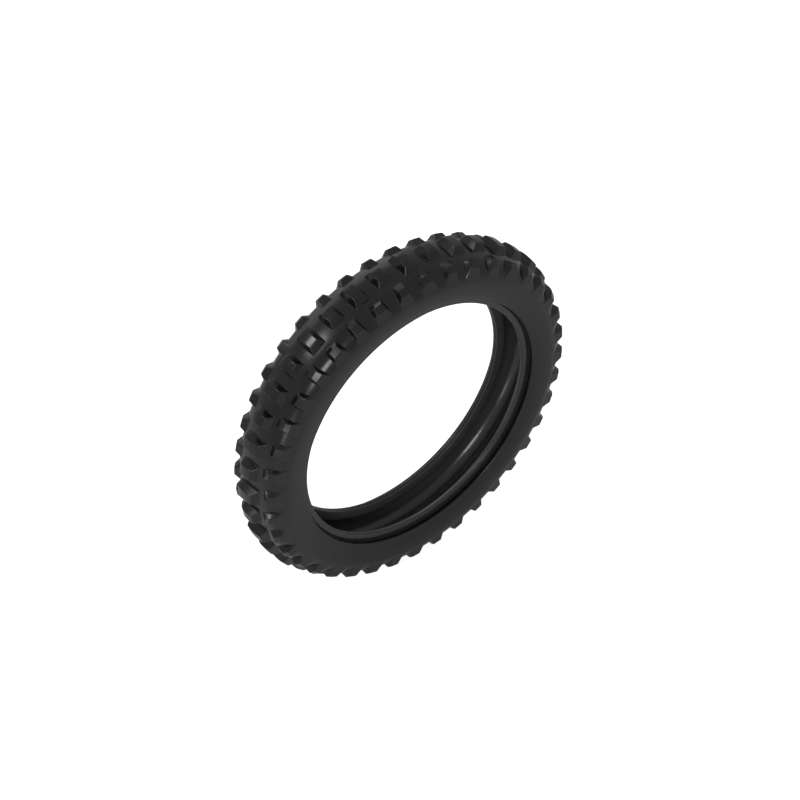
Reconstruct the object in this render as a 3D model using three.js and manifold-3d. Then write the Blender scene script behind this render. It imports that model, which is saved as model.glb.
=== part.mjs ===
// An off-road motorcycle tire, size class 110/90-18, in millimetres.
// The wheel axis is +Y, the tire stands upright with +Z up, and the origin is the wheel centre.
// The left side of the motorcycle, which travels along +X, is +Y.
// Every layer of the casing is a ring of its own: it is drawn as a cross-section and turned about the axis.

import * as THREE from 'three';
import { ConvexGeometry } from 'three/addons/geometries/ConvexGeometry.js';
import { mergeVertices } from 'three/addons/utils/BufferGeometryUtils.js';
import Module from 'manifold-3d';

const solids = await Module();
solids.setup();

// Driving dimensions of the cross-section. "axial" is the distance from the mid-plane.
const PITCHES = 40; // blocks round the tread, and straight facets round every ring
const CROWN_HALF_FLAT = 19.5; // axial half-width of the level stretch under the centre blocks
const SHOULDER_RADIUS = 36.8; // round of the section from the crown to the widest point
const WIDEST_RADIUS = 275.5; // distance from the axis to the widest point of the tire
const CHORD_ANGLES = [0, 45, 90]; // where the shoulder round is broken into flat chords
const GAP = 0.3; // clearance between layers that touch in the real tire
const WIDEST_ANGLE = 90; // where the shoulder round ends, at the widest point
const RUBBER_BLACK = 0x1b1c1e;

// Stations down the side, as distances from the axis.
const TURN_UP_END = 260; // free edge of the inner ply outside the filler
const BEAD_TOP = 246; // where the plies leave the bead and spread
const LINER_FOOT = 233; // free edges of the inner liner

// Tread. Angles are degrees down the shoulder round from the crown.
const STRIP_DEPTH = 3; // rubber under the blocks that carries them
const BLOCK_ROOT_DEPTH = 1.5; // how far a block reaches into its strip
const TREAD_SPLIT_ANGLE = 8; // edge of the centre strip
const SHOULDER_STRIP_START = 9;
const SHOULDER_STRIP_END = 80;
const SIDEWALL_START = 81;
const CROWN_RADIUS = WIDEST_RADIUS + SHOULDER_RADIUS;
const CENTRE_TOP_RADIUS = 327.5; // middle of a centre block's top, half the overall diameter
const CENTRE_EDGE_RADIUS = 325.5; // ends of a centre block's top
const CENTRE_LEVEL_HALF = 6; // axial half-length of the level middle of the top
const CENTRE_TOP_HALF_PITCH = 9.3; // half the top's length round the tire
const CENTRE_BASE_HALF_PITCH = 14.4; // half the base's length round the tire
const CENTRE_END_DRAFT = 6; // how much longer the base is than the top at each end
const SHOULDER_LAG = 2.25; // degrees that the shoulder knobs trail the centre blocks

// The two kinds of pitch alternate: a wide centre block between short-ramp shoulder knobs,
// then a narrow centre block between shoulder knobs with a long ramp towards the crown.
const WIDE_PITCH = {
  centreTopHalf: 17.4,
  rampFoot: { angle: 22, halfWidth: 13.0 },
  topInner: { axial: 44.0, radius: 313.8, halfWidth: 8.2 },
  topOuter: { axial: 52.6, radius: 305.9, halfWidth: 8.6 },
  outerFoot: { angle: 76, halfWidth: 15.5 },
};
const NARROW_PITCH = {
  centreTopHalf: 13.6,
  rampFoot: { angle: 13, halfWidth: 10.5 },
  topInner: { axial: 44.0, radius: 313.8, halfWidth: 7.2 },
  topOuter: { axial: 52.6, radius: 305.9, halfWidth: 8.3 },
  outerFoot: { angle: 76, halfWidth: 13.3 },
};

// A layer's outer and inner faces, as depths below the outer skin at the crown and at the widest
// point, and as an axial distance at the bead.
const TREAD_BASE = { outer: { crown: 3.3, side: 3.3 }, inner: { crown: 5.3, side: 4.4 } };
const BREAKER_OUTER = { outer: { crown: 5.6, side: 4.7 }, inner: { crown: 6.4, side: 5.4 } };
const BREAKER_INNER = { outer: { crown: 6.7, side: 5.7 }, inner: { crown: 7.5, side: 6.4 } };
const PLY_OUTER = {
  outer: { crown: 7.8, side: 4.9, bead: 37.9 },
  inner: { crown: 8.4, side: 5.4, bead: 37.4 },
};
const PLY_INNER = {
  outer: { crown: 8.7, side: 5.7, bead: 31.6 },
  inner: { crown: 9.3, side: 6.2, bead: 31.1 },
};
const LINER = {
  outer: { crown: 9.6, side: 6.5, bead: 30.8 },
  inner: { crown: 10.8, side: 7.4, bead: 30.0 },
};
// Edges of the crown strips, in degrees down the shoulder round.
const TREAD_BASE_END = 76;
const BREAKER_OUTER_END = 35;
const BREAKER_INNER_END = 25;

// Bead, as axial distances from the mid-plane and distances from the axis.
const CORE = { inner: 32.6, outer: 35.6, foot: 231.3, top: 239.3, bevel: 0.8 };
const FILLER = { shoulder: 244, tipAxial: 39.4, tip: 256 };
const WRAP_THICKNESS = 0.4;
const WRAP_TOP = 242;
const PLY_THICKNESS = 0.5;
const PLY_FOOT = 229.8;

// Corners of the outer rubber at the bead, each as its axial distance and its distance from the axis.
const BELOW_WIDEST = [55.2, 258];
const LIP_OUTSIDE = [51.6, 241.4];
const LIP_EDGE = [50.0, 240.3]; // stands beside the rim flange
const LIP_INSIDE = [48.4, 241.2];
const GROOVE_OUTSIDE = [40.4, 245.3]; // the groove takes the edge of the rim flange
const GROOVE_FLOOR = [39.0, 245.6];
const CUSHION_TOP = [39.6, 245.0];
const FLANGE_FACE_TOP = [40.0, 239.4];
const FLANGE_FACE_FOOT = [40.0, 228.8];
const HEEL = [38.0, 227.5];
const SEAT_INSIDE = [35.4, 227.5]; // the rim seat lies between here and the heel
const TOE = [31.0, 228.7];
const CUSHION_THICKNESS = 1;
const TOE_THICKNESS = 0.7;
const CHAFER_HEEL = { axial: 36.3, outer: 228.9, inner: 229.4 }; // end of the strip under the core

// A point of the shoulder round, broken into flat chords, for a layer below the outer skin.
function casingPoint(angle, depth, side) {
  const corner = (degrees) => {
    const turn = THREE.MathUtils.degToRad(degrees);
    const axial = CROWN_HALF_FLAT + (SHOULDER_RADIUS - depth.side) * Math.sin(turn);
    const radius = WIDEST_RADIUS + (SHOULDER_RADIUS - depth.crown) * Math.cos(turn);
    return new THREE.Vector2(radius, side * axial);
  };
  const after = CHORD_ANGLES.findIndex((chord) => chord >= angle);
  if (CHORD_ANGLES[after] === angle) return corner(angle);
  const before = CHORD_ANGLES[after - 1];
  const share = (angle - before) / (CHORD_ANGLES[after] - before);
  return corner(before).lerp(corner(CHORD_ANGLES[after]), share);
}

// The points of one face of a layer, from its end on one side to its end on the other.
function acrossCrown(depth, endAngle) {
  const angles = [endAngle, ...CHORD_ANGLES.filter((chord) => chord < endAngle).reverse()];
  const right = angles.map((angle) => casingPoint(angle, depth, -1));
  const left = angles.map((angle) => casingPoint(angle, depth, 1)).reverse();
  return [...right, ...left];
}

// A section point on the left side, or on the right side where side is -1.
function at(axial, radius, side = 1) {
  return new THREE.Vector2(radius, side * axial);
}

// Turns a closed cross-section about the wheel axis. Every ring has its corners at the same
// angles, so layers keep their clearance all round.
function ring(outline) {
  const firstCorner = THREE.MathUtils.degToRad(-SHOULDER_LAG);
  let twiceArea = 0;
  outline.forEach((point, index) => {
    const next = outline[(index + 1) % outline.length];
    twiceArea += point.y * next.x - next.y * point.x;
  });
  const ordered = twiceArea < 0 ? [...outline] : [...outline].reverse();
  ordered.push(ordered[0].clone());
  return new THREE.LatheGeometry(ordered, PITCHES, firstCorner);
}

// A closed mesh whose shared corners are merged, as a solid that can be joined and cut.
function toSolid(geometry) {
  const bare = geometry.clone();
  bare.deleteAttribute('normal');
  bare.deleteAttribute('uv');
  const merged = mergeVertices(bare, 1e-4);
  const kept = [];
  const corners = merged.index.array;
  for (let i = 0; i < corners.length; i += 3) {
    const [a, b, c] = corners.subarray(i, i + 3);
    if (a !== b && b !== c && c !== a) kept.push(a, b, c);
  }
  const mesh = new solids.Mesh({
    numProp: 3,
    vertProperties: new Float32Array(merged.attributes.position.array),
    triVerts: new Uint32Array(kept),
  });
  return new solids.Manifold(mesh);
}

// A solid back as a geometry for its mesh.
function toGeometry(solid) {
  const mesh = solid.getMesh();
  const geometry = new THREE.BufferGeometry();
  geometry.setAttribute('position', new THREE.BufferAttribute(mesh.vertProperties, 3));
  geometry.setIndex(new THREE.BufferAttribute(mesh.triVerts, 1));
  geometry.computeVertexNormals();
  return geometry;
}

// A place on the tire: degrees round the tread from +X towards +Z, then distances from the
// middle of the pitch, from the mid-plane and from the axis.
function place(degrees, along, axial, radius) {
  const point = new THREE.Vector3(radius, axial, -along);
  return point.applyAxisAngle(new THREE.Vector3(0, 1, 0), -THREE.MathUtils.degToRad(degrees));
}

// A block of the middle row, whose top falls away towards its two ends.
function centreBlock(degrees, pitch) {
  const corners = [];
  const baseHalf = pitch.centreTopHalf + CENTRE_END_DRAFT;
  for (const along of [-1, 1]) {
    for (const side of [-1, 1]) {
      const base = CENTRE_BASE_HALF_PITCH * along;
      const top = CENTRE_TOP_HALF_PITCH * along;
      corners.push(place(degrees, base, baseHalf * side, CROWN_RADIUS - BLOCK_ROOT_DEPTH));
      corners.push(place(degrees, top, pitch.centreTopHalf * side, CENTRE_EDGE_RADIUS));
      corners.push(place(degrees, top, CENTRE_LEVEL_HALF * side, CENTRE_TOP_RADIUS));
    }
  }
  return toSolid(new ConvexGeometry(corners));
}

// A block of a shoulder row: a ramp up from the crown, a flat top and a flank down the side.
function shoulderKnob(degrees, pitch, side) {
  const skin = { crown: 0, side: 0 };
  const root = { crown: STRIP_DEPTH, side: STRIP_DEPTH };
  const corners = [];
  for (const along of [-1, 1]) {
    for (const foot of [pitch.rampFoot, pitch.outerFoot]) {
      for (const depth of [skin, root]) {
        const spot = casingPoint(foot.angle, depth, side);
        corners.push(place(degrees, foot.halfWidth * along, spot.y, spot.x));
      }
    }
    for (const edge of [pitch.topInner, pitch.topOuter]) {
      corners.push(place(degrees, edge.halfWidth * along, edge.axial * side, edge.radius));
    }
  }
  return toSolid(new ConvexGeometry(corners));
}

// One block for each pitch, wide and narrow pitches in turn.
function forEachPitch(makeBlock) {
  return Array.from({ length: PITCHES }, (_, index) => {
    const degrees = (index * 360) / PITCHES;
    return makeBlock(degrees, index % 2 === 0 ? WIDE_PITCH : NARROW_PITCH);
  });
}

// A strip under the crown, from one shoulder to the other.
function crownStrip(layer, endAngle) {
  const outer = acrossCrown(layer.outer, endAngle);
  const inner = acrossCrown(layer.inner, endAngle);
  return ring([...outer, ...inner.reverse()]);
}

// A casing layer that runs from one bead over the crown to the other.
function beadToBead(layer, footRadius) {
  const face = (depth) => [
    at(depth.bead, footRadius, -1),
    at(depth.bead, BEAD_TOP, -1),
    ...acrossCrown(depth, WIDEST_ANGLE),
    at(depth.bead, BEAD_TOP),
    at(depth.bead, footRadius),
  ];
  return ring([...face(layer.outer), ...face(layer.inner).reverse()]);
}

// The inner ply runs down inside each bead core, passes under it and turns up outside it.
function turnedUpPly() {
  const legOuter = PLY_OUTER.inner.bead - GAP;
  const legInner = legOuter - PLY_THICKNESS;
  const rise = (TURN_UP_END - BEAD_TOP) / (WIDEST_RADIUS - BEAD_TOP);
  const widest = CROWN_HALF_FLAT + SHOULDER_RADIUS - PLY_OUTER.inner.side;
  const endOuter = THREE.MathUtils.lerp(PLY_OUTER.inner.bead, widest, rise) - GAP;
  const outsideTurn = (side) => [
    at(PLY_INNER.inner.bead, BEAD_TOP, side),
    at(PLY_INNER.inner.bead, PLY_FOOT, side),
    at(legOuter, PLY_FOOT, side),
    at(legOuter, BEAD_TOP, side),
    at(endOuter, TURN_UP_END, side),
  ];
  const insideTurn = (side) => [
    at(PLY_INNER.outer.bead, BEAD_TOP, side),
    at(PLY_INNER.outer.bead, PLY_FOOT + PLY_THICKNESS, side),
    at(legInner, PLY_FOOT + PLY_THICKNESS, side),
    at(legInner, BEAD_TOP, side),
    at(endOuter - PLY_THICKNESS, TURN_UP_END, side),
  ];
  return ring([
    ...insideTurn(-1).reverse(),
    ...acrossCrown(PLY_INNER.outer, WIDEST_ANGLE),
    ...insideTurn(1),
    ...outsideTurn(1).reverse(),
    ...acrossCrown(PLY_INNER.inner, WIDEST_ANGLE).reverse(),
    ...outsideTurn(-1),
  ]);
}

// The ring between two depths of one shoulder.
function shoulderBand(fromAngle, toAngle, side, depthTop, depthBottom) {
  const chords = CHORD_ANGLES.filter((chord) => chord > fromAngle && chord < toAngle);
  const face = (depth) =>
    [fromAngle, ...chords, toAngle].map((angle) => casingPoint(angle, { crown: depth, side: depth }, side));
  return ring([...face(depthTop), ...face(depthBottom).reverse()]);
}

function centreTread() {
  const skin = { crown: 0, side: 0 };
  const floor = { crown: STRIP_DEPTH, side: STRIP_DEPTH };
  const band = toSolid(crownStrip({ outer: skin, inner: floor }, TREAD_SPLIT_ANGLE));
  const blocks = forEachPitch((degrees, pitch) => centreBlock(degrees, pitch));
  return toGeometry(solids.Manifold.union([band, ...blocks]));
}

function shoulderTread(side) {
  const band = toSolid(shoulderBand(SHOULDER_STRIP_START, SHOULDER_STRIP_END, side, 0, STRIP_DEPTH));
  const underRoots = toSolid(shoulderBand(0, WIDEST_ANGLE, side, BLOCK_ROOT_DEPTH, SHOULDER_RADIUS / 2));
  const knobs = forEachPitch((degrees, pitch) => shoulderKnob(degrees - SHOULDER_LAG, pitch, side));
  const rooted = solids.Manifold.union(knobs).subtract(underRoots);
  return toGeometry(band.add(rooted));
}

// Side rubber from the tread's edge down to the lip beside the rim flange, and its groove.
function sidewall(side) {
  const skin = { crown: 0, side: 0 };
  const back = { crown: PLY_OUTER.outer.crown, side: PLY_OUTER.outer.side - GAP };
  const lip = [BELOW_WIDEST, LIP_OUTSIDE, LIP_EDGE, LIP_INSIDE, GROOVE_OUTSIDE, GROOVE_FLOOR];
  return ring([
    casingPoint(SIDEWALL_START, skin, side),
    casingPoint(WIDEST_ANGLE, skin, side),
    ...lip.map(([axial, radius]) => at(axial, radius, side)),
    casingPoint(WIDEST_ANGLE, back, side),
    casingPoint(SIDEWALL_START, back, side),
  ]);
}

// Rubber over the bead where it sits on the rim, from the groove round to the toe.
function rimCushion(side) {
  const outside = [CUSHION_TOP, FLANGE_FACE_TOP, FLANGE_FACE_FOOT, HEEL, SEAT_INSIDE, TOE];
  const inside = [
    [TOE[0], TOE[1] + TOE_THICKNESS],
    [SEAT_INSIDE[0] + TOE_THICKNESS, SEAT_INSIDE[1] + CUSHION_THICKNESS],
    [FLANGE_FACE_FOOT[0] - CUSHION_THICKNESS, FLANGE_FACE_FOOT[1] + TOE_THICKNESS],
    [FLANGE_FACE_TOP[0] - CUSHION_THICKNESS, CUSHION_TOP[1]],
  ];
  return ring([...outside, ...inside].map(([axial, radius]) => at(axial, radius, side)));
}

// Fabric strip between the cushion and the plies, against chafing by the rim.
function chafer(side) {
  const outer = FLANGE_FACE_TOP[0] - CUSHION_THICKNESS - GAP;
  const inner = outer - PLY_THICKNESS;
  return ring([
    at(outer, CUSHION_TOP[1], side),
    at(outer, PLY_FOOT, side),
    at(CHAFER_HEEL.axial, CHAFER_HEEL.outer, side),
    at(CHAFER_HEEL.axial, CHAFER_HEEL.inner, side),
    at(inner, PLY_FOOT + GAP, side),
    at(inner, CUSHION_TOP[1], side),
  ]);
}

// Fabric that is folded up round the core and its filler, open at the top.
function beadWrap(side) {
  const inner = CORE.inner - GAP;
  const outer = CORE.outer + GAP;
  const foot = CORE.foot - GAP;
  return ring([
    at(inner - WRAP_THICKNESS, WRAP_TOP, side),
    at(inner - WRAP_THICKNESS, foot - WRAP_THICKNESS, side),
    at(outer + WRAP_THICKNESS, foot - WRAP_THICKNESS, side),
    at(outer + WRAP_THICKNESS, WRAP_TOP, side),
    at(outer, WRAP_TOP, side),
    at(outer, foot, side),
    at(inner, foot, side),
    at(inner, WRAP_TOP, side),
  ]);
}

// Bundle of bead wires, wound as one six-sided hoop.
function beadCore(side) {
  return ring([
    at(CORE.inner, CORE.foot + CORE.bevel, side),
    at(CORE.inner + CORE.bevel, CORE.foot, side),
    at(CORE.outer - CORE.bevel, CORE.foot, side),
    at(CORE.outer, CORE.foot + CORE.bevel, side),
    at(CORE.outer, CORE.top, side),
    at(CORE.inner, CORE.top, side),
  ]);
}

// Hard rubber wedge over the core.
function beadFiller(side) {
  return ring([
    at(CORE.inner, CORE.top + GAP, side),
    at(CORE.outer, CORE.top + GAP, side),
    at(CORE.outer, FILLER.shoulder, side),
    at(FILLER.tipAxial, FILLER.tip, side),
    at(CORE.inner, FILLER.shoulder, side),
  ]);
}

const tire = new THREE.Group();

function add(name, geometry, finish) {
  const mesh = new THREE.Mesh(geometry, new THREE.MeshStandardMaterial(finish));
  mesh.name = name;
  tire.add(mesh);
}

const treadRubber = { color: RUBBER_BLACK, roughness: 0.45, metalness: 0 };
const sidewallRubber = { color: 0x202123, roughness: 0.4, metalness: 0 };
const linerRubber = { color: 0x17181a, roughness: 0.35, metalness: 0 };
const plyFabric = { color: 0x5a4a34, roughness: 0.8, metalness: 0 };
const breakerFabric = { color: 0x6b5536, roughness: 0.8, metalness: 0 };
const fillerRubber = { color: 0x26282b, roughness: 0.6, metalness: 0 };
const bronzedWire = { color: 0xa9824e, roughness: 0.35, metalness: 1 };
const chaferFabric = { color: 0x3a3630, roughness: 0.8, metalness: 0 };

add('centre_tread', centreTread(), treadRubber);
add('tread_base', crownStrip(TREAD_BASE, TREAD_BASE_END), treadRubber);
add('breaker_outer', crownStrip(BREAKER_OUTER, BREAKER_OUTER_END), breakerFabric);
add('breaker_inner', crownStrip(BREAKER_INNER, BREAKER_INNER_END), breakerFabric);
add('body_ply_outer', beadToBead(PLY_OUTER, PLY_FOOT + GAP), plyFabric);
add('body_ply_inner', turnedUpPly(), plyFabric);
add('inner_liner', beadToBead(LINER, LINER_FOOT), linerRubber);

for (const [name, side] of [['left', 1], ['right', -1]]) {
  add(`shoulder_tread_${name}`, shoulderTread(side), treadRubber);
  add(`sidewall_${name}`, sidewall(side), sidewallRubber);
  add(`rim_cushion_${name}`, rimCushion(side), sidewallRubber);
  add(`chafer_${name}`, chafer(side), chaferFabric);
  add(`bead_wrap_${name}`, beadWrap(side), chaferFabric);
  add(`bead_core_${name}`, beadCore(side), bronzedWire);
  add(`bead_filler_${name}`, beadFiller(side), fillerRubber);
}

export default tire;
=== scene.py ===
# A bare off-road motorcycle tire, size class 110/90-18, with every layer of its casing as a piece
# of its own. The wheel axis is +Y and the tire stands upright on the floor, with +Z up, the wheel
# centre at the origin, the motorcycle's left at +Y and its front at +X.
# Cross-sections are drawn in millimetres as complex numbers: the real part is the axial distance
# from the mid-plane and the imaginary part is the distance from the wheel axis.
import cmath
import math

import bmesh
import bpy
from mathutils import Matrix, Quaternion, Vector


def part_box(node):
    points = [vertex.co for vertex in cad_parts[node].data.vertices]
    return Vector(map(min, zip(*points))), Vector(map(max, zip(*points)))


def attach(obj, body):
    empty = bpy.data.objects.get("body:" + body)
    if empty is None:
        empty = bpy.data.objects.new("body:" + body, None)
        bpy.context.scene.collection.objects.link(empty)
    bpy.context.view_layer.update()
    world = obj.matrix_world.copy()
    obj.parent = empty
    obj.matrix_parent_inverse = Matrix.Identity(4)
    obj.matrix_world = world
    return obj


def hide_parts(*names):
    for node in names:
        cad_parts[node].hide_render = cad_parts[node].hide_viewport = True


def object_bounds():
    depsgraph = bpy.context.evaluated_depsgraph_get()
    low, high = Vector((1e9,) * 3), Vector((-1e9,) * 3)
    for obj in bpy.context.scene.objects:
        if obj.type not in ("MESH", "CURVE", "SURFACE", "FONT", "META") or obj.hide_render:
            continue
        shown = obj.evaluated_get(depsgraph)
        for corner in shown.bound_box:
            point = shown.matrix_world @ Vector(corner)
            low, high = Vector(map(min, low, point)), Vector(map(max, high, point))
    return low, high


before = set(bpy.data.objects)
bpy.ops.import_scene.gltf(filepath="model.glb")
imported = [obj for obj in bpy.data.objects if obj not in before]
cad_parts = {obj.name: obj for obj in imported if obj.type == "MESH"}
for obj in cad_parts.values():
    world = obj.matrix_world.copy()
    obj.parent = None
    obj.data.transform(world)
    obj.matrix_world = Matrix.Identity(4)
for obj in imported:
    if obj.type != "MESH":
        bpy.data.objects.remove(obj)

CAD_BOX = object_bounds()
MM = 0.001
SIDES = (("left", 1), ("right", -1))

# ---------------------------------------------------------------- driving dimensions, in millimetres
TREAD_RADIUS = -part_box("centre_tread")[0].z / MM
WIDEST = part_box("sidewall_left")[1].y / MM
CROWN_HALF = 19.5  # axial distance of the centre of the shoulder round
WIDEST_RADIUS = 275.5
SHOULDER_ROUND = WIDEST - CROWN_HALF
CROWN_LEAN = math.radians(18)  # lean of the skin where the crown's arc runs into the shoulder round
CROWN_ARC = CROWN_HALF / math.sin(CROWN_LEAN) + SHOULDER_ROUND
CROWN_ARC_CENTRE = WIDEST_RADIUS - CROWN_HALF / math.tan(CROWN_LEAN)
CROWN_SHARE = CROWN_ARC * CROWN_LEAN  # distance along the skin from the mid-plane to the shoulder round
STRIP_DEPTH = 3.0
CROWN_SWELL = 2.9  # how much thicker the centre strip is in its middle
LEVEL_HALF = 23.0  # axial half-width of the level stretch of the layers under the crown
LINER_LEVEL_HALF = 10.0
TREAD_SPLIT = 14.46  # degrees down the shoulder where the centre strip meets a shoulder strip
TREAD_END = 80.0  # degrees down the shoulder where the tread strip meets the sidewall
PITCHES = 40
SHOULDER_LAG = 2.25  # degrees that the shoulder knobs trail the centre blocks

# Steps of the tread mesh
SIDE_STEPS = 12  # along each side of a block and of its pitch
CORNER_STEPS = 2  # on each half of a round corner
FLOOR_LOOPS = 3
WALL_LOOPS = 2
ROUND_STEPS = 3  # across a fillet or a rounded top edge
RING_STEPS = PITCHES * SIDE_STEPS

# Steps of the turned pieces
INNER_RING_STEPS = 240
OUTLINE_ROUND_STEPS = 5  # across a rounded corner of an outline
LAYER_STEP = 2.5  # degrees down the shoulder
SIDE_RUN_STEPS = 10  # on each half of a casing layer's run from its widest place to its bead

# Tolerances
MERGE_DISTANCE = 0.002  # millimetres
SHARP_ANGLE = 40  # degrees between faces that meet in a crisp edge
SKIN_TOLERANCE = 0.01  # millimetres
LEAN_TOLERANCE = 0.001  # radians

# Centre blocks
CENTRE_FOOT_HALF = 14.4  # half-length round the tire, at the foot and at the top
CENTRE_TOP_HALF = 9.3
CENTRE_END_SLOPE = 6.0  # how far each end leans out from the top to the foot
CENTRE_EDGE_DROP = 2.0  # the ends of the top lie this much below its middle
CENTRE_DROP_POWER = 2.5

# Shoulder knobs
KNOB_TOP_INNER = 44.0 + 313.8j  # section points of the ends of a knob's top
KNOB_TOP_OUTER = 52.6 + 305.9j
FLANK_FOOT = 76.0  # degrees down the shoulder

# Rounds of a tread block
CORNER_ROUND = 1.6
TOP_ROUND = 0.9
FOOT_FILLET = 0.5


# ---------------------------------------------------------------- cross-section of the casing
def lean(across):
    """Angle of the skin's normal from the mid-plane at this distance along the skin."""
    if abs(across) < CROWN_SHARE:
        return across / CROWN_ARC
    return math.copysign(CROWN_LEAN + (abs(across) - CROWN_SHARE) / SHOULDER_ROUND, across)


def on_skin(across, depth=0.0):
    """Section point at this distance along the skin from the mid-plane, and this deep below it."""
    turn = lean(across)
    if abs(across) < CROWN_SHARE:
        reach = CROWN_ARC - depth
        return complex(reach * math.sin(turn), CROWN_ARC_CENTRE + reach * math.cos(turn))
    reach = SHOULDER_ROUND - depth
    middle = math.copysign(CROWN_HALF, across)
    return complex(middle + reach * math.sin(turn), WIDEST_RADIUS + reach * math.cos(turn))


def down_shoulder(degrees):
    """Distance along the skin from the mid-plane to where the skin leans by this many degrees."""
    turn = math.radians(degrees)
    if turn < CROWN_LEAN:
        return CROWN_ARC * turn
    return CROWN_SHARE + SHOULDER_ROUND * (turn - CROWN_LEAN)


def spot(degrees, section):
    """The place in the frame of a section point, this far round the tire from +X towards +Z."""
    turn = math.radians(degrees)
    return Vector((section.imag * math.cos(turn), section.real, section.imag * math.sin(turn))) * MM


def corner_arc(before, here, after, radius, steps):
    """Points of the round at a corner, from one tangent point to the other."""
    back = (before - here) / abs(before - here)
    ahead = (after - here) / abs(after - here)
    opening = cmath.phase(ahead / back)
    half = abs(opening) / 2
    centre = here + (back + ahead) / abs(back + ahead) * radius / math.sin(half)
    first = here + back * radius / math.tan(half) - centre
    sweep = math.copysign(math.pi - 2 * half, -opening)
    return [centre + first * cmath.rect(1, sweep * i / steps) for i in range(steps + 1)]


def rounded(corners):
    """A closed outline from (axial, radius, round) corners."""
    places = [complex(axial, radius) for axial, radius, _ in corners]
    outline = []
    for i, (_, _, radius) in enumerate(corners):
        if radius:
            after = places[(i + 1) % len(places)]
            outline += corner_arc(places[i - 1], places[i], after, radius, OUTLINE_ROUND_STEPS)
        else:
            outline.append(places[i])
    return outline


def bow(start, control, end, steps):
    """Points of a curve that leaves start and reaches end along the lines to control."""
    shares = [i / steps for i in range(steps + 1)]
    return [start * (1 - t) ** 2 + control * 2 * t * (1 - t) + end * t**2 for t in shares]


# ---------------------------------------------------------------- meshes
def piece(name, builder, surface, slot):
    """Turns a bmesh into the piece that stands for the CAD node of the same name."""
    bmesh.ops.remove_doubles(builder, verts=builder.verts, dist=MERGE_DISTANCE * MM)
    bmesh.ops.recalc_face_normals(builder, faces=builder.faces)
    mesh = bpy.data.meshes.new(name)
    builder.to_mesh(mesh)
    builder.free()
    mesh.shade_smooth()
    mesh.set_sharp_from_angle(angle=math.radians(SHARP_ANGLE))
    mesh.materials.append(surface)
    made = bpy.data.objects.new(f"moulded_{name}" if "rubber" in slot else f"laid_{name}", mesh)
    bpy.context.scene.collection.objects.link(made)
    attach(made, "root")
    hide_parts(name)
    return made


def add_ring(builder, outline, steps):
    """Turns a closed section outline about the wheel axis."""
    loops = []
    for step in range(steps):
        degrees = 360 * step / steps
        loops.append([builder.verts.new(spot(degrees, section)) for section in outline])
    for step in range(steps):
        here, after = loops[step], loops[(step + 1) % steps]
        for i in range(len(outline)):
            j = (i + 1) % len(outline)
            builder.faces.new((here[i], here[j], after[j], after[i]))


def on_side(side, outline):
    """An outline that is drawn for the left side (1), or its mirror image for the right side (-1)."""
    return [complex(side * p.real, p.imag) for p in outline]


def ring(name, outline, surface, slot, side=1, steps=RING_STEPS):
    """A piece turned from one outline, which is drawn for the left side."""
    builder = bmesh.new()
    add_ring(builder, on_side(side, outline), steps)
    piece(name, builder, surface, slot)


# ---------------------------------------------------------------- tread blocks
class Block:
    """A tread block: four foot corners and four top corners, each (distance round the tire, distance
    across it)."""

    def __init__(self, foot, top, top_section, from_across, to_across):
        self.foot = [complex(*corner) for corner in foot]
        self.top = [complex(*corner) for corner in top]
        self.top_section = top_section  # section point of the top, from the distance across it
        self.from_across = from_across
        self.to_across = to_across


def inset(corners, distance):
    """The corners of a convex outline moved in by this distance from its sides."""
    moved = []
    for i, here in enumerate(corners):
        back = (corners[i - 1] - here) / abs(corners[i - 1] - here)
        ahead = (corners[(i + 1) % 4] - here) / abs(corners[(i + 1) % 4] - here)
        moved.append(here + (back + ahead) * distance / abs(math.sin(cmath.phase(ahead / back))))
    return moved


def block_outline(corners, radius):
    """The outline of a block with round corners, starting half way round the first corner."""
    arcs = []
    for i in range(4):
        after = corners[(i + 1) % 4]
        arcs.append(corner_arc(corners[i - 1], corners[i], after, radius, 2 * CORNER_STEPS))
    straight = SIDE_STEPS - 2 * CORNER_STEPS
    outline = []
    for i in range(4):
        leaving, reaching = arcs[i], arcs[(i + 1) % 4]
        outline += leaving[CORNER_STEPS:-1]
        for step in range(straight):
            outline.append(leaving[-1] + (reaching[0] - leaving[-1]) * step / straight)
        outline += reaching[:CORNER_STEPS]
    return outline


def side_plane(block):
    """Half-width of a block's two leaning sides as a function of the section point, as one flat plane."""
    low, high = block.foot[1], block.foot[2]
    tip = (block.top[1] + block.top[2]) / 2
    places = [on_skin(low.imag), on_skin(high.imag), block.top_section(tip.imag)]
    rows = Matrix([(1, p.real, p.imag) for p in places])
    level, by_axial, by_radius = rows.inverted() @ Vector((low.real, high.real, tip.real))
    return lambda section: level + by_axial * section.real + by_radius * section.imag


def foot_places(block, spread):
    """(degrees, across) of the block's foot outline on the skin, spread outwards by a distance."""
    plane = side_plane(block)
    low, high = block.foot[1], block.foot[2]
    places = []
    for point in block_outline(inset(block.foot, -spread), CORNER_ROUND + spread):
        across = min(max(point.imag, low.imag), high.imag)
        straight = low.real + (high.real - low.real) * (across - low.imag) / (high.imag - low.imag)
        pinch = plane(on_skin(across)) - straight
        section = on_skin(point.imag)
        along = point.real + math.copysign(pinch, point.real) * min(abs(point.real) / straight, 1)
        places.append((math.degrees(along / section.imag), point.imag))
    return places


def pitch_edge(block):
    """(degrees, across) of the edge of the block's pitch, with as many points as the block's outline."""
    half, near, far = 180 / PITCHES, block.from_across, block.to_across
    corners = [(-half, near), (half, near), (half, far), (-half, far)]
    edge = []
    for i in range(4):
        (d0, a0), (d1, a1) = corners[i], corners[(i + 1) % 4]
        for step in range(SIDE_STEPS):
            share = step / SIDE_STEPS
            edge.append((d0 + (d1 - d0) * share, a0 + (a1 - a0) * share))
    return edge


def top_spot(block, middle, point):
    """The place of a point (distance round the tire, across it) of a block's top."""
    section = block.top_section(point.imag)
    return spot(middle + math.degrees(point.real / section.imag), section)


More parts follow.
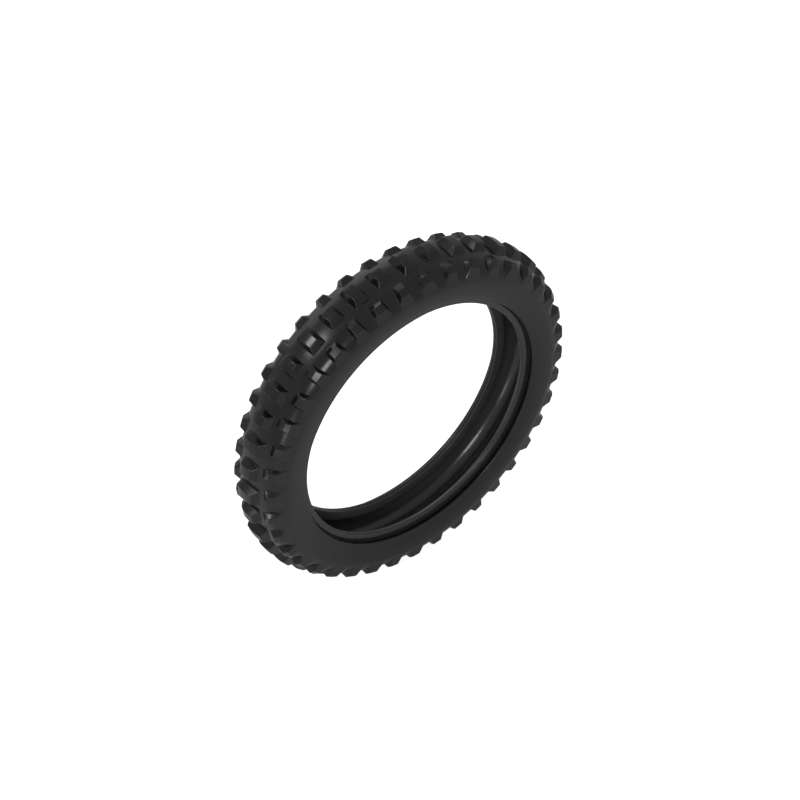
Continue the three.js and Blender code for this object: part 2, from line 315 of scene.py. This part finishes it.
def top_grid(outline):
    """Points that fill a block's top, row by row, blended from the four sides of its outline."""
    n = SIDE_STEPS
    low, right = outline[: n + 1], outline[n : 2 * n + 1]
    high = outline[2 * n : 3 * n + 1][::-1]
    left = (outline[3 * n :] + outline[:1])[::-1]
    rows = []
    for j in range(n + 1):
        v = j / n
        row = []
        for i in range(n + 1):
            u = i / n
            sides = (1 - v) * low[i] + v * high[i] + (1 - u) * left[j] + u * right[j]
            corners = (1 - v) * ((1 - u) * low[0] + u * low[n]) + v * ((1 - u) * high[0] + u * high[n])
            row.append(sides - corners)
        rows.append(row)
    return rows


def block_loops(block, middle):
    """Loops of places from the edge of the pitch over the floor and up the block's foot and walls to
    its top, and the points that fill the top. The block's middle is this many degrees round the tire."""
    edge = pitch_edge(block)
    outer_foot = foot_places(block, FOOT_FILLET)
    loops = []
    for loop in range(FLOOR_LOOPS + 1):
        share = loop / FLOOR_LOOPS
        places = []
        for (d0, a0), (d1, a1) in zip(edge, outer_foot):
            degrees, across = d0 + (d1 - d0) * share, a0 + (a1 - a0) * share
            places.append(spot(middle + degrees, on_skin(across)))
        loops.append(places)
    feet = [spot(middle + degrees, on_skin(across)) for degrees, across in foot_places(block, 0)]
    brims = [top_spot(block, middle, p) for p in block_outline(block.top, CORNER_ROUND)]
    top_outline = block_outline(inset(block.top, TOP_ROUND), CORNER_ROUND - TOP_ROUND / 2)
    rims = [top_spot(block, middle, p) for p in top_outline]
    rise = [(brim - foot).normalized() for foot, brim in zip(feet, brims)]
    foot_tops = [foot + up * FOOT_FILLET * MM for foot, up in zip(feet, rise)]
    wall_tops = [brim - up * TOP_ROUND * MM for brim, up in zip(brims, rise)]
    fillets = [bow(a, b, c, ROUND_STEPS) for a, b, c in zip(loops[-1], feet, foot_tops)]
    edges = [bow(a, b, c, ROUND_STEPS) for a, b, c in zip(wall_tops, brims, rims)]
    loops += [list(loop) for loop in zip(*fillets)][1:]
    for wall in range(1, WALL_LOOPS):
        loops.append([a.lerp(b, wall / WALL_LOOPS) for a, b in zip(foot_tops, wall_tops)])
    loops += [list(loop) for loop in zip(*edges)]
    return loops, top_grid(top_outline)


def add_block(builder, block, middle):
    """A block with the floor of its pitch."""
    loops, grid = block_loops(block, middle)
    made = [[builder.verts.new(place) for place in loop] for loop in loops]
    count = len(made[0])
    for lower, upper in zip(made, made[1:]):
        for i in range(count):
            j = (i + 1) % count
            builder.faces.new((lower[i], lower[j], upper[j], upper[i]))
    top = [[builder.verts.new(top_spot(block, middle, p)) for p in row] for row in grid]
    for j in range(SIDE_STEPS):
        for i in range(SIDE_STEPS):
            builder.faces.new((top[j][i], top[j][i + 1], top[j + 1][i + 1], top[j + 1][i]))


def skin_normal(place):
    """The skin's normal at a place of the frame, or None if the place does not lie on the skin."""
    radius = math.hypot(place.x, place.z)
    crown = (0, CROWN_ARC_CENTRE, CROWN_ARC)
    shoulder = (CROWN_HALF, WIDEST_RADIUS, SHOULDER_ROUND)
    for arc in (crown, shoulder):
        middle, centre, reach = arc
        arm = complex(abs(place.y) / MM - middle, radius / MM - centre)
        turn = math.atan2(arm.real, arm.imag)
        on_crown = turn < CROWN_LEAN + LEAN_TOLERANCE
        if abs(abs(arm) - reach) < SKIN_TOLERANCE and on_crown == (arc is crown):
            outward = Vector((place.x, 0, place.z)) / radius * math.cos(turn)
            outward.y = math.copysign(math.sin(turn), place.y)
            return outward
    return None


def shade_tread(mesh):
    """Sets the shading so that flat faces stay flat between their rounded edges, and the skin between
    the blocks runs on without a seam from one strip to the next."""
    normals = [Vector() for _ in mesh.vertices]
    for face in mesh.polygons:
        for corner in face.vertices:
            normals[corner] += face.normal * face.area
    for vertex in mesh.vertices:
        normals[vertex.index] = skin_normal(vertex.co) or normals[vertex.index].normalized()
    mesh.set_sharp_from_angle(angle=math.pi)
    mesh.normals_split_custom_set_from_vertices(normals)


def add_strip_back(builder, from_across, to_across):
    """The underside and the two edges of a tread strip."""
    section = [on_skin(from_across)]
    for i in range(SIDE_STEPS + 1):
        across = from_across + (to_across - from_across) * i / SIDE_STEPS
        swell = math.cos(min(abs(lean(across)) / CROWN_LEAN, 1) * math.pi / 2)
        section.append(on_skin(across, STRIP_DEPTH + CROWN_SWELL * swell))
    section.append(on_skin(to_across))
    loops = []
    for step in range(RING_STEPS):
        loops.append([builder.verts.new(spot(360 * step / RING_STEPS, p)) for p in section])
    for step in range(RING_STEPS):
        here, after = loops[step], loops[(step + 1) % RING_STEPS]
        for i in range(len(section) - 1):
            builder.faces.new((here[i], here[i + 1], after[i + 1], after[i]))


def tread(name, kinds, lag, surface):
    """A tread strip with its blocks, which alternate between two kinds round the tire and trail the
    pitches by this many degrees."""
    builder = bmesh.new()
    for pitch in range(PITCHES):
        add_block(builder, kinds[pitch % 2], 360 * pitch / PITCHES - lag)
    add_strip_back(builder, kinds[0].from_across, kinds[0].to_across)
    shade_tread(piece(name, builder, surface, "tread_rubber").data)


def centre_block(top_half):
    """A block of the middle row, whose top falls away a little towards its two ends."""
    foot_half = top_half + CENTRE_END_SLOPE

    def top_section(across):
        drop = CENTRE_EDGE_DROP * min(abs(across) / top_half, 1) ** CENTRE_DROP_POWER
        return complex(across, TREAD_RADIUS - drop)

    split = down_shoulder(TREAD_SPLIT)
    low, high = CENTRE_FOOT_HALF, CENTRE_TOP_HALF
    foot = [(-low, -foot_half), (low, -foot_half), (low, foot_half), (-low, foot_half)]
    top = [(-high, -top_half), (high, -top_half), (high, top_half), (-high, top_half)]
    return Block(foot, top, top_section, -split, split)


def shoulder_knob(ramp_degrees, ramp_half, inner_half, outer_half, foot_half, side):
    """A block of a shoulder row: a ramp rises from the crown to its top, and its flank drops to the
    sidewall. Its half-lengths round the tire are at the foot of the ramp, at the inner and the outer
    end of the top and at the foot of the flank."""
    length = abs(KNOB_TOP_OUTER - KNOB_TOP_INNER)

    def top_section(across):
        point = KNOB_TOP_INNER + (KNOB_TOP_OUTER - KNOB_TOP_INNER) * abs(across) / length
        return complex(side * point.real, point.imag)

    ramp, flank = down_shoulder(ramp_degrees), down_shoulder(FLANK_FOOT)
    foot = [(-ramp_half, ramp), (ramp_half, ramp), (foot_half, flank), (-foot_half, flank)]
    top = [(-inner_half, 0), (inner_half, 0), (outer_half, length), (-outer_half, length)]
    if side < 0:
        foot = [(along, -across) for along, across in foot]
        top = [(along, -across) for along, across in top]
    split, end = side * down_shoulder(TREAD_SPLIT), side * down_shoulder(TREAD_END)
    return Block(foot, top, top_section, split, end)


# ---------------------------------------------------------------- shader node groups
class Nodes:
    """Short ways to add and join nodes in a tree."""

    def __init__(self, tree):
        self.tree = tree

    def add(self, kind, inputs=None, **settings):
        node = self.tree.nodes.new(kind)
        for key, value in settings.items():
            setattr(node, key, value)
        for key, value in (inputs or {}).items():
            if isinstance(value, bpy.types.NodeSocket):
                self.tree.links.new(value, node.inputs[key])
            else:
                node.inputs[key].default_value = value
        return node

    def noise(self, place, scale, detail, roughness=0.5):
        inputs = {"Vector": place, "Scale": scale, "Detail": detail, "Roughness": roughness}
        return self.add("ShaderNodeTexNoise", inputs).outputs["Fac"]

    def span(self, value, low, high, to_low=0.0, to_high=1.0):
        inputs = {"Value": value, "From Min": low, "From Max": high, "To Min": to_low, "To Max": to_high}
        return self.add("ShaderNodeMapRange", inputs, clamp=True).outputs["Result"]

    def math(self, operation, first, second=0.0):
        return self.add("ShaderNodeMath", {0: first, 1: second}, operation=operation).outputs[0]

    def blend(self, share, first, second):
        factor, low, high, colour_out = 0, 6, 7, 2  # sockets of a colour mix
        node = self.add("ShaderNodeMix", data_type="RGBA")
        for key, value in ((factor, share), (low, first), (high, second)):
            if isinstance(value, bpy.types.NodeSocket):
                self.tree.links.new(value, node.inputs[key])
            else:
                node.inputs[key].default_value = value
        return node.outputs[colour_out]


def new_group(name, inputs, outputs):
    """An empty node group with its sockets, and the nodes that hold them."""
    tree = bpy.data.node_groups.new(name, "ShaderNodeTree")
    for title, value in inputs.items():
        kind = "NodeSocketColor" if isinstance(value, tuple) else "NodeSocketFloat"
        tree.interface.new_socket(title, in_out="INPUT", socket_type=kind).default_value = value
    for title, kind in outputs.items():
        tree.interface.new_socket(title, in_out="OUTPUT", socket_type=kind)
    given = tree.nodes.new("NodeGroupInput").outputs
    result = tree.nodes.new("NodeGroupOutput").inputs
    return Nodes(tree), given, result


def moulded_rubber_group():
    """Cured rubber: a faint mottle, dust in the hollows, rubbed edges and a fine grain."""
    inputs = {
        "Colour": (0.01, 0.01, 0.011, 1),
        "Dust": (0.05, 0.05, 0.05, 1),
        "Gloss": 0.3,
        "Edge Rub": 0.5,
        "Grain": 0.5,
    }
    outputs = {"Colour": "NodeSocketColor", "Roughness": "NodeSocketFloat", "Height": "NodeSocketFloat"}
    nodes, given, result = new_group("moulded_rubber", inputs, outputs)
    place = nodes.add("ShaderNodeTexCoord").outputs["Object"]
    mottle = nodes.span(nodes.noise(place, 38, 4), 0.35, 0.65)
    streak = nodes.span(nodes.noise(place, 140, 3), 0.3, 0.7)
    grain = nodes.noise(place, 1900, 3, 0.6)
    edge = nodes.add("ShaderNodeNewGeometry").outputs["Pointiness"]
    rubbed = nodes.math("MULTIPLY", nodes.span(edge, 0.52, 0.60), given["Edge Rub"])
    hollow = nodes.math("MULTIPLY", nodes.span(edge, 0.49, 0.44), streak)
    soft = nodes.blend(nodes.math("MULTIPLY", mottle, 0.10), given["Colour"], given["Dust"])
    worn = nodes.blend(nodes.math("MULTIPLY", rubbed, 0.35), soft, given["Dust"])
    dusty = nodes.blend(nodes.math("MULTIPLY", hollow, 0.15), worn, given["Dust"])
    rough = nodes.math("ADD", given["Gloss"], nodes.span(mottle, 0, 1, -0.02, 0.03))
    rough = nodes.math("ADD", rough, nodes.span(streak, 0, 1, -0.015, 0.015))
    rough = nodes.math("ADD", rough, nodes.math("MULTIPLY", rubbed, 0.08))
    nodes.tree.links.new(dusty, result["Colour"])
    nodes.tree.links.new(rough, result["Roughness"])
    nodes.tree.links.new(nodes.math("MULTIPLY", grain, given["Grain"]), result["Height"])
    return nodes.tree


FABRIC_RADIUS = 300.0  # distance from the axis at which the cords' pitch holds, in millimetres


def cord_fabric_group():
    """Cords laid side by side in rubber, running round the tire at an angle."""
    inputs = {
        "Cord": (0.3, 0.22, 0.12, 1),
        "Rubber": (0.02, 0.02, 0.02, 1),
        "Cord Pitch": 1.1,
        "Lean": 0.6,
    }
    outputs = {"Colour": "NodeSocketColor", "Roughness": "NodeSocketFloat", "Height": "NodeSocketFloat"}
    nodes, given, result = new_group("cord_fabric", inputs, outputs)
    place = nodes.add("ShaderNodeTexCoord").outputs["Object"]
    parts = nodes.add("ShaderNodeSeparateXYZ", {0: place}).outputs
    turn = nodes.math("ARCTAN2", parts["Z"], parts["X"])
    along = nodes.math("MULTIPLY", turn, FABRIC_RADIUS)
    across = nodes.math("MULTIPLY", nodes.math("DIVIDE", parts["Y"], MM), given["Lean"])
    phase = nodes.math("DIVIDE", nodes.math("ADD", along, across), given["Cord Pitch"])
    wave = nodes.math("ABSOLUTE", nodes.math("SINE", nodes.math("MULTIPLY", phase, math.pi)))
    fray = nodes.noise(place, 900, 3)
    shade = nodes.math("MULTIPLY", wave, nodes.span(fray, 0.2, 0.8, 0.6, 1.0))
    nodes.tree.links.new(nodes.blend(shade, given["Rubber"], given["Cord"]), result["Colour"])
    nodes.tree.links.new(nodes.span(shade, 0, 1, 0.5, 0.85), result["Roughness"])
    nodes.tree.links.new(wave, result["Height"])
    return nodes.tree


def material(name):
    """A new material, its nodes and its shader."""
    made = bpy.data.materials.new(name)
    made.use_nodes = True
    made.node_tree.nodes.clear()
    nodes = Nodes(made.node_tree)
    shader = nodes.add("ShaderNodeBsdfPrincipled")
    nodes.add("ShaderNodeOutputMaterial", {"Surface": shader.outputs["BSDF"]})
    return made, nodes, shader


def join_surface(nodes, shader, effect, bump_strength, bump_depth):
    """Feeds a group's colour, roughness and height to the shader."""
    nodes.tree.links.new(effect.outputs["Colour"], shader.inputs["Base Color"])
    nodes.tree.links.new(effect.outputs["Roughness"], shader.inputs["Roughness"])
    inputs = {"Strength": bump_strength, "Distance": bump_depth * MM, "Height": effect.outputs["Height"]}
    bump = nodes.add("ShaderNodeBump", inputs)
    nodes.tree.links.new(bump.outputs["Normal"], shader.inputs["Normal"])


DUST = (0.035, 0.035, 0.036, 1)
RUBBER_BUMP = (0.12, 0.15)  # strength, and depth in millimetres
FABRIC_BUMP = (0.6, 0.3)


def rubber(name, group, colour, gloss, edge_rub, grain):
    """Gloss is the roughness of clean rubber, and edge rub and grain are shares of the group's own."""
    made, nodes, shader = material(name)
    inputs = {"Colour": (*colour, 1), "Dust": DUST, "Gloss": gloss, "Edge Rub": edge_rub, "Grain": grain}
    effect = nodes.add("ShaderNodeGroup", inputs, node_tree=group)
    join_surface(nodes, shader, effect, *RUBBER_BUMP)
    return made


def cord_fabric(name, group, cord, pitch, slant):
    """Cords of this colour, with their pitch in millimetres and their slant as a shift per width."""
    made, nodes, shader = material(name)
    inputs = {"Cord": (*cord, 1), "Cord Pitch": pitch, "Lean": slant}
    effect = nodes.add("ShaderNodeGroup", inputs, node_tree=group)
    join_surface(nodes, shader, effect, *FABRIC_BUMP)
    return made


def bronzed_wire():
    """Steel wire with a drawn bronze coat that has tarnished in places."""
    made, nodes, shader = material("bronzed_bead_wire")
    place = nodes.add("ShaderNodeTexCoord").outputs["Object"]
    tarnish = nodes.span(nodes.noise(place, 260, 4), 0.35, 0.65)
    drawn = nodes.noise(place, 2400, 2)
    tint = nodes.blend(tarnish, (0.62, 0.38, 0.17, 1), (0.30, 0.19, 0.09, 1))
    nodes.tree.links.new(tint, shader.inputs["Base Color"])
    nodes.tree.links.new(nodes.span(drawn, 0.2, 0.8, 0.22, 0.42), shader.inputs["Roughness"])
    bump = nodes.add("ShaderNodeBump", {"Strength": 0.2, "Distance": 0.02 * MM, "Height": drawn})
    nodes.tree.links.new(bump.outputs["Normal"], shader.inputs["Normal"])
    shader.inputs["Metallic"].default_value = 1
    return made


RUBBER_GROUP = moulded_rubber_group()
FABRIC_GROUP = cord_fabric_group()
TREAD_RUBBER = rubber("tread_rubber", RUBBER_GROUP, (0.0045, 0.0045, 0.005), 0.22, 0.5, 0.2)
SIDEWALL_RUBBER = rubber("sidewall_rubber", RUBBER_GROUP, (0.005, 0.005, 0.0055), 0.23, 0.3, 0.12)
# Painted light: the rim cushion is the sidewall's rubber painted six times lighter, so that its bead face
# in the shaded groove under the lip looks lit.
CUSHION_RUBBER_PAINTED_LIGHT = rubber("rim_cushion_painted_light_rubber", RUBBER_GROUP, (0.03, 0.03, 0.031), 0.25, 0.3, 0.12)
# Painted light: the liner's grey is raised well above the other rubber's, so that the inside of the tire,
# which the lamps and the room hardly reach, looks lit.
LINER_RUBBER_PAINTED_LIGHT = rubber("liner_rubber", RUBBER_GROUP, (0.065, 0.065, 0.067), 0.19, 0.1, 0.06)
FILLER_RUBBER = rubber("filler_rubber", RUBBER_GROUP, (0.02, 0.02, 0.022), 0.5, 0.2, 0.8)
BASE_RUBBER = rubber("cushion_gum_rubber", RUBBER_GROUP, (0.012, 0.012, 0.012), 0.45, 0.2, 0.6)
PLY_FABRIC = cord_fabric("nylon_ply_fabric", FABRIC_GROUP, (0.30, 0.21, 0.10), 0.9, 0.9)
BREAKER_FABRIC = cord_fabric("breaker_fabric", FABRIC_GROUP, (0.36, 0.26, 0.12), 1.2, -0.5)
CHAFER_FABRIC = cord_fabric("chafer_fabric", FABRIC_GROUP, (0.12, 0.11, 0.09), 0.8, 0.0)
WIRE = bronzed_wire()


# ---------------------------------------------------------------- tread strips
WIDE_BLOCK, NARROW_BLOCK = centre_block(17.4), centre_block(13.6)
tread("centre_tread", [WIDE_BLOCK, NARROW_BLOCK], 0, TREAD_RUBBER)
for side_name, side in SIDES:
    short_ramp = shoulder_knob(22, 13.0, 8.2, 8.6, 15.5, side)
    long_ramp = shoulder_knob(16.15, 10.5, 7.2, 8.3, 13.3, side)
    tread(f"shoulder_tread_{side_name}", [short_ramp, long_ramp], SHOULDER_LAG, TREAD_RUBBER)


# ---------------------------------------------------------------- layers under the tread
WAIST_RADIUS = 254.0  # where the casing turns in towards the bead
BEAD_TOP_RADIUS = 244.0


def layer_run(from_degrees, to_degrees, crown_depth, side_depth, level=LEVEL_HALF):
    """Section points down the left shoulder of a layer, which is level as far as this from the
    mid-plane. Its depths below the skin are at the crown and at the widest place."""
    count = round((to_degrees - from_degrees) / LAYER_STEP)
    points = []
    for i in range(count + 1):
        turn = math.radians(from_degrees + (to_degrees - from_degrees) * i / count)
        axial = level + (WIDEST - side_depth - level) * math.sin(turn)
        points.append(complex(axial, WIDEST_RADIUS + (SHOULDER_ROUND - crown_depth) * math.cos(turn)))
    return points


def both_sides(outer, inner):
    """The closed outline of a layer, from the left halves of its outer and its inner face."""
    faces = [on_side(-1, reversed(half)) + half for half in (outer, inner)]
    return faces[0] + faces[1][::-1]


def crown_layer(name, end_degrees, outer_depths, inner_depths, fabric, slot):
    """A strip under the crown, from one shoulder to the other. Depths are at the crown and the side."""
    outer = layer_run(0, end_degrees, *outer_depths)
    inner = layer_run(0, end_degrees, *inner_depths)
    ring(name, both_sides(outer, inner), fabric, slot, steps=INNER_RING_STEPS)


crown_layer("tread_base", 76, (3.4, 3.4), (5.3, 4.4), BASE_RUBBER, "tread_rubber")
crown_layer("breaker_outer", 35, (5.6, 4.7), (6.4, 5.4), BREAKER_FABRIC, "breaker_fabric")
crown_layer("breaker_inner", 25, (6.7, 5.7), (7.5, 6.4), BREAKER_FABRIC, "breaker_fabric")


def side_run(widest_depth, bead_axial, foot_radius):
    """Section points of a casing layer from its widest place down to its foot beside the bead."""
    start = complex(WIDEST - widest_depth, WIDEST_RADIUS)
    waist = complex((start.real + bead_axial) / 2, WAIST_RADIUS)
    bead_top = complex(bead_axial, BEAD_TOP_RADIUS)
    lower = bow(start, complex(start.real, WAIST_RADIUS + 8), waist, SIDE_RUN_STEPS)
    upper = bow(waist, complex(bead_axial, WAIST_RADIUS - 6), bead_top, SIDE_RUN_STEPS)
    return lower[1:] + upper[1:] + [complex(bead_axial, foot_radius)]


def casing_layer(name, outer, inner, foot_radius, fabric, slot, inner_level=LEVEL_HALF):
    """A layer from bead to bead. Each of its two faces is its depth at the crown, its depth at the
    side and its axial distance at the bead."""
    halves = []
    for (crown_depth, side_depth, bead), level in ((outer, LEVEL_HALF), (inner, inner_level)):
        crown = layer_run(0, 90, crown_depth, side_depth, level)
        halves.append(crown + side_run(side_depth, bead, foot_radius))
    ring(name, both_sides(*halves), fabric, slot, steps=INNER_RING_STEPS)


casing_layer(
    "body_ply_outer", (7.8, 4.9, 37.9), (8.4, 5.4, 37.4), 230.1, PLY_FABRIC, "ply_fabric"
)
casing_layer(
    "inner_liner",
    (9.6, 6.5, 31.7),
    (10.8, 7.4, 30.5),
    229.6,
    LINER_RUBBER_PAINTED_LIGHT,
    "liner_rubber",
    LINER_LEVEL_HALF,
)


def turned_up_ply():
    """The inner ply passes under each bead core and turns up outside it."""
    outer = layer_run(0, 90, 8.7, 5.7) + side_run(5.7, 32.4, 230.6)
    outer += [36.6 + 230.6j, 36.6 + 244j, 39.5 + 254j]
    inner = layer_run(0, 90, 9.3, 6.2) + side_run(6.2, 31.9, 229.9)
    inner += [37.1 + 229.9j, 37.1 + 244j, 40.0 + 254j]
    ring("body_ply_inner", both_sides(outer, inner), PLY_FABRIC, "ply_fabric", steps=INNER_RING_STEPS)


turned_up_ply()


# ---------------------------------------------------------------- sidewall and bead
LIP_SHOULDER = 51.0 + 242.4j  # section point where the sidewall turns into its lip
SIDEWALL_PULL = 256.5  # radius of the point that bows the sidewall out
SIDEWALL_STEPS = 16


def sidewall(name, side):
    """Sidewall rubber, from the tread edge down to the lip beside the rim flange and into its groove."""
    outline = [on_skin(down_shoulder(turn)) for turn in (TREAD_END, 82.5, 85, 87.5, 90)]
    outline += bow(outline[-1], complex(WIDEST, SIDEWALL_PULL), LIP_SHOULDER, SIDEWALL_STEPS)[1:]
    lip = [
        (LIP_SHOULDER.real, LIP_SHOULDER.imag, 0),
        (50.0, 239.5, 1.5),
        (47.4, 241.0, 0.8),
        (40.6, 244.9, 0.6),
        (39.0, 245.6, 0),
    ]
    outline += rounded(lip)[1:]
    back = layer_run(TREAD_END, 90, 7.5, 4.6) + [complex(WIDEST - 6.6, 262), 42.5 + 252j]
    ring(name, outline + back[::-1], SIDEWALL_RUBBER, "sidewall_rubber", side)


WIRES_ACROSS, WIRES_UP = 3, 8
WIRE_SIDES = 8
WIRE_GAP = 0.02  # between neighbouring wires
WIRE_RING_STEPS = 160
CORE_FOOT_RADIUS = 231.3


def bead_core(name, side):
    """Bundle of bead wires in columns and rows that fill the core's space in the frame."""
    low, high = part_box("bead_core_left")
    wire = (high.y - low.y) / MM / WIRES_ACROSS
    builder = bmesh.new()
    for column in range(WIRES_ACROSS):
        for row in range(WIRES_UP):
            centre = complex(low.y / MM + wire * (column + 0.5), CORE_FOOT_RADIUS + wire * (row + 0.5))
            turns = [math.tau * i / WIRE_SIDES for i in range(WIRE_SIDES)]
            section = [centre + cmath.rect((wire - WIRE_GAP) / 2, turn) for turn in turns]
            add_ring(builder, on_side(side, section), WIRE_RING_STEPS)
    piece(name, builder, WIRE, "bead_wire")


# Outlines of the bead's other parts, as (axial, radius, round) corners. The rim cushion runs from
# the groove round the heel to the toe.
CUSHION_OUTLINE = rounded(
    [
        (39.6, 245.2, 0),
        (39.2, 240.2, 1.0),
        (40.3, 237.2, 3.0),
        (39.2, 228.3, 1.6),
        (36.8, 227.5, 2.0),
        (31.4, 229.4, 0.7),
        (30.6, 232.0, 0),
        (31.4, 232.0, 0),
        (31.8, 229.9, 0),
        (37.4, 228.6, 0),
        (38.4, 245.2, 0),
    ]
)
CHAFER_OUTLINE = rounded(
    [
        (38.3, 244.6, 0),
        (38.3, 229.5, 0.6),
        (37.5, 229.5, 0),
        (37.9, 230.2, 0),
        (37.9, 244.6, 0),
    ]
)
FILLER_OUTLINE = rounded(
    [
        (32.9, 239.8, 0.3),
        (35.9, 239.8, 0.3),
        (36.2, 244.0, 1.0),
        (39.0, 253.5, 0.3),
        (33.4, 244.5, 1.0),
    ]
)
WRAP_OUTLINE = rounded(
    [
        (32.1, 242.0, 0),
        (32.1, 230.7, 0.5),
        (36.3, 230.7, 0.5),
        (36.3, 242.0, 0),
        (35.9, 242.0, 0),
        (35.9, 231.1, 0.3),
        (32.5, 231.1, 0.3),
        (32.5, 242.0, 0),
    ]
)

for side_name, side in SIDES:
    sidewall(f"sidewall_{side_name}", side)
    ring(f"rim_cushion_{side_name}", CUSHION_OUTLINE, CUSHION_RUBBER_PAINTED_LIGHT, "sidewall_rubber", side)
    steps = INNER_RING_STEPS
    ring(f"chafer_{side_name}", CHAFER_OUTLINE, CHAFER_FABRIC, "chafer_fabric", side, steps)
    bead_core(f"bead_core_{side_name}", side)
    ring(f"bead_filler_{side_name}", FILLER_OUTLINE, FILLER_RUBBER, "filler_rubber", side, steps)
    ring(f"bead_wrap_{side_name}", WRAP_OUTLINE, CHAFER_FABRIC, "chafer_fabric", side, steps)


# ---------------------------------------------------------------- floor, light and camera
ROOM_LIGHT = 0.42  # brightness of the room as the rubber sees it, and then as the camera sees it
ROOM_WHITE = 1.1
FLOOR_GLOW = 0.8  # what the floor adds to its own light for the camera
FLOOR_HALF = 12  # metres
LIGHT_DISTANCE = 3.0
CAMERA_AZIMUTH = math.radians(-38.297)
CAMERA_ELEVATION = math.radians(43.317)
CAMERA_DISTANCE = 4.0567
CAMERA_LEFT, CAMERA_RISE = 0.0050, 0.0140
LENS, SENSOR_WIDTH = 109.43, 36  # millimetres
CAMERA_REACH = 60


def softbox(name, azimuth, elevation, width, height, brightness, roll=0):
    """A softbox that faces the wheel centre. Azimuth 0 stands before -Y and 90 before +X, its width
    and height are the angles it fills as seen from the tire, and roll turns it about its own axis."""
    light = bpy.data.lights.new(name, "AREA")
    light.shape = "RECTANGLE"
    light.size = 2 * LIGHT_DISTANCE * math.tan(math.radians(width / 2))
    light.size_y = 2 * LIGHT_DISTANCE * math.tan(math.radians(height / 2))
    light.energy = brightness * math.pi * light.size * light.size_y
    stand = bpy.data.objects.new(name, light)
    a, e = math.radians(azimuth), math.radians(elevation)
    away = Vector((math.sin(a) * math.cos(e), -math.cos(a) * math.cos(e), math.sin(e)))
    stand.location = away * LIGHT_DISTANCE
    stand.rotation_mode = "QUATERNION"
    stand.rotation_quaternion = away.to_track_quat("Z", "Y") @ Quaternion((0, 0, 1), math.radians(roll))
    stand.visible_camera = False
    bpy.context.scene.collection.objects.link(stand)


def floor():
    """A matt floor that looks white to the camera."""
    builder = bmesh.new()
    bmesh.ops.create_grid(builder, x_segments=8, y_segments=8, size=FLOOR_HALF)
    mesh = bpy.data.meshes.new("floor")
    builder.to_mesh(mesh)
    builder.free()
    made, nodes, shader = material("pale_floor")
    shader.inputs["Base Color"].default_value = (0.9, 0.9, 0.9, 1)
    shader.inputs["Roughness"].default_value = 1
    shader.inputs["Specular IOR Level"].default_value = 0
    shader.inputs["Emission Color"].default_value = (1, 1, 1, 1)
    seen = nodes.add("ShaderNodeLightPath").outputs["Is Camera Ray"]
    nodes.tree.links.new(nodes.math("MULTIPLY", seen, FLOOR_GLOW), shader.inputs["Emission Strength"])
    mesh.materials.append(made)
    ground = bpy.data.objects.new("floor", mesh)
    ground.location.z = CAD_BOX[0].z
    bpy.context.scene.collection.objects.link(ground)


def studio():
    """An even white room, bright where the camera looks past the tire and dimmer where it lights
    the rubber, with four softboxes."""
    world = bpy.data.worlds.new("studio")
    world.use_nodes = True
    nodes = Nodes(world.node_tree)
    background = world.node_tree.nodes["Background"]
    seen = nodes.add("ShaderNodeLightPath").outputs["Is Camera Ray"]
    nodes.tree.links.new(nodes.span(seen, 0, 1, ROOM_LIGHT, ROOM_WHITE), background.inputs["Strength"])
    background.inputs["Color"].default_value = (1, 1, 1, 1)
    bpy.context.scene.world = world
    softbox("rear_left_light", -118, 49, 15, 8, 12, roll=25)
    softbox("left_light", 176, 24, 50, 30, 0.6)
    softbox("rear_right_light", -33, 26, 14, 13, 10)
    softbox("rear_right_low_light", -52, -2, 12, 10, 3)
    bpy.context.scene.view_settings.view_transform = "Standard"


def camera():
    """Stands off the rear right of the motorcycle, well above it, and looks down at the wheel centre."""
    lens = bpy.data.cameras.new("camera")
    lens.lens = LENS
    lens.sensor_width = SENSOR_WIDTH
    lens.clip_end = CAMERA_REACH
    stand = bpy.data.objects.new("camera", lens)
    right = Vector((math.cos(CAMERA_AZIMUTH), math.sin(CAMERA_AZIMUTH), 0))
    level_back = Vector((math.sin(CAMERA_AZIMUTH), -math.cos(CAMERA_AZIMUTH), 0))
    back = level_back * math.cos(CAMERA_ELEVATION) + Vector((0, 0, math.sin(CAMERA_ELEVATION)))
    up = back.cross(right)
    stand.location = back * CAMERA_DISTANCE - right * CAMERA_LEFT + up * CAMERA_RISE
    stand.rotation_mode = "QUATERNION"
    stand.rotation_quaternion = Matrix((right, up, back)).transposed().to_quaternion()
    bpy.context.scene.collection.objects.link(stand)
    bpy.context.scene.camera = stand


floor()
studio()
camera()
